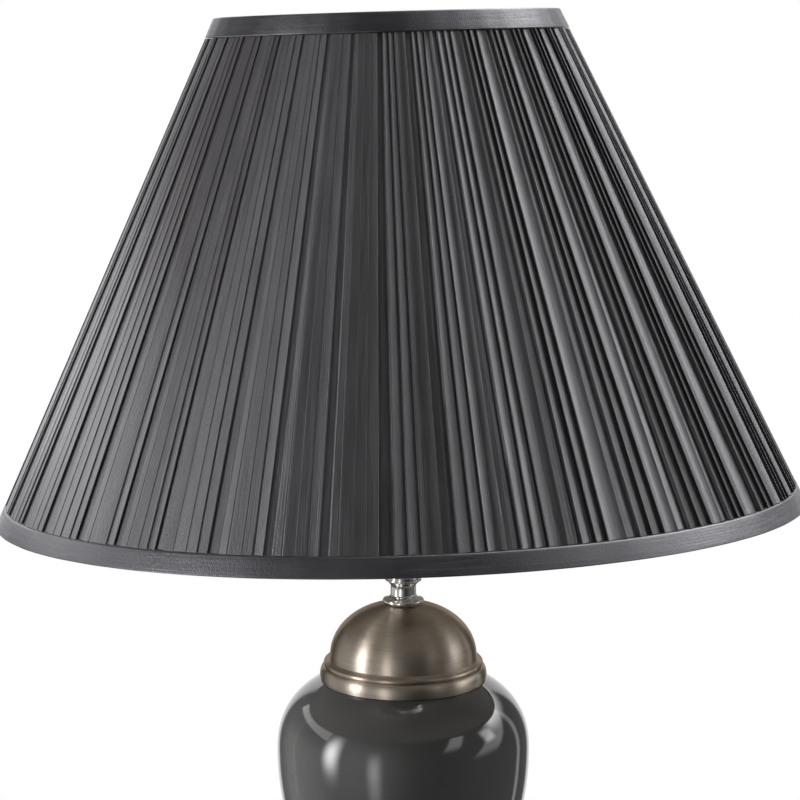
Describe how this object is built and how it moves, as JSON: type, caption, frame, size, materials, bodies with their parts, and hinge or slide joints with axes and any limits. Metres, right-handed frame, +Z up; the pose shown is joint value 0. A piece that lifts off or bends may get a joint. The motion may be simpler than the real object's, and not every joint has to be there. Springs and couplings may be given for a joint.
{
  "type": "urn table lamp",
  "caption": "Table lamp with a knife-pleated empire shade on a tilting gimbal, an E27 lampholder with a push bar, a spun dome cap and a glazed ceramic urn on a metal base.",
  "frame": {"origin": "centre of the felt pad's underside, on the surface that the lamp stands on", "axes": "+Z up the column, -Y towards the viewer of the picture, +Y towards the cord entry, +X to the right"},
  "size_m": [0.4068, 0.4061, 0.5363],
  "materials": {
    "felt": "dark felt",
    "spun_metal": "brushed antique nickel",
    "casting": "as cast",
    "zinc": "zinc plated",
    "contact_brass": "bare brass",
    "black_plastic": "satin black",
    "gasket": "matt",
    "glaze": "gloss charcoal glaze",
    "neck_chrome": "polished",
    "switch_plastic": "ivory",
    "porcelain": "unglazed",
    "shell_metal": "nickel plated",
    "insulator": "black glass",
    "bulb_metal": "pressed",
    "opal_glass": "opal",
    "coated_wire": "white powder coat",
    "lining": "smooth ivory cloth",
    "satin": "charcoal satin",
    "trim_satin": "charcoal satin"
  },
  "bodies": {
    "stand": {"felt_pad": "felt", "base_shell": "spun_metal", "base_weight": "casting", "base_washer": "zinc", "earth_tag": "contact_brass", "base_nut": "zinc", "cord_bush": "black_plastic", "foot_gasket": "gasket", "urn_body": "glaze", "mouth_gasket": "gasket", "centring_disc": "zinc", "dome_cap": "spun_metal", "neck": "neck_chrome", "threaded_rod": "zinc", "lampholder_base": "black_plastic", "switch_block": "switch_plastic", "socket_core": "porcelain", "terminal_screws": "contact_brass", "centre_contact": "contact_brass", "screw_shell": "shell_metal", "lampholder_sleeve": "black_plastic"},
    "push_bar": {"switch_bar": "switch_plastic"},
    "screw_ring": {"retaining_ring": "black_plastic"},
    "bulb": {"bulb_contact": "contact_brass", "bulb_insulator": "insulator", "bulb_cap": "bulb_metal", "bulb_glass": "opal_glass"},
    "fitter": {"fitter_ring": "shell_metal"},
    "shade": {"gimbal_pins": "shell_metal", "gimbal_hoop": "coated_wire", "shade_spokes": "coated_wire", "bottom_ring": "coated_wire", "top_ring": "coated_wire", "shade_struts": "coated_wire", "shade_lining": "lining", "shade_cover": "satin", "bottom_trim": "trim_satin", "top_trim": "trim_satin"}
  },
  "joints": [
    {"name": "switch_press", "type": "slide", "parent": "stand", "child": "push_bar", "axis": [1, 0, 0], "range_m": [0, 0.006]},
    {"name": "ring_turn", "type": "hinge", "parent": "stand", "child": "screw_ring", "pos_m": [0, 0, 0.311], "axis": [0, 0, 1], "continuous": true},
    {"name": "bulb_turn", "type": "hinge", "parent": "stand", "child": "bulb", "pos_m": [0, 0, 0.3087], "axis": [0, 0, 1], "continuous": true},
    {"name": "shade_turn", "type": "hinge", "parent": "stand", "child": "fitter", "pos_m": [-0.002, 0, 0.3125], "axis": [0, 0, 1], "continuous": true},
    {"name": "shade_tilt", "type": "hinge", "parent": "fitter", "child": "shade", "pos_m": [-0.002, 0, 0.3125], "axis": [0.9191, 0.3939, 0], "range_deg": [-10.81, 19.19]}
  ]
}
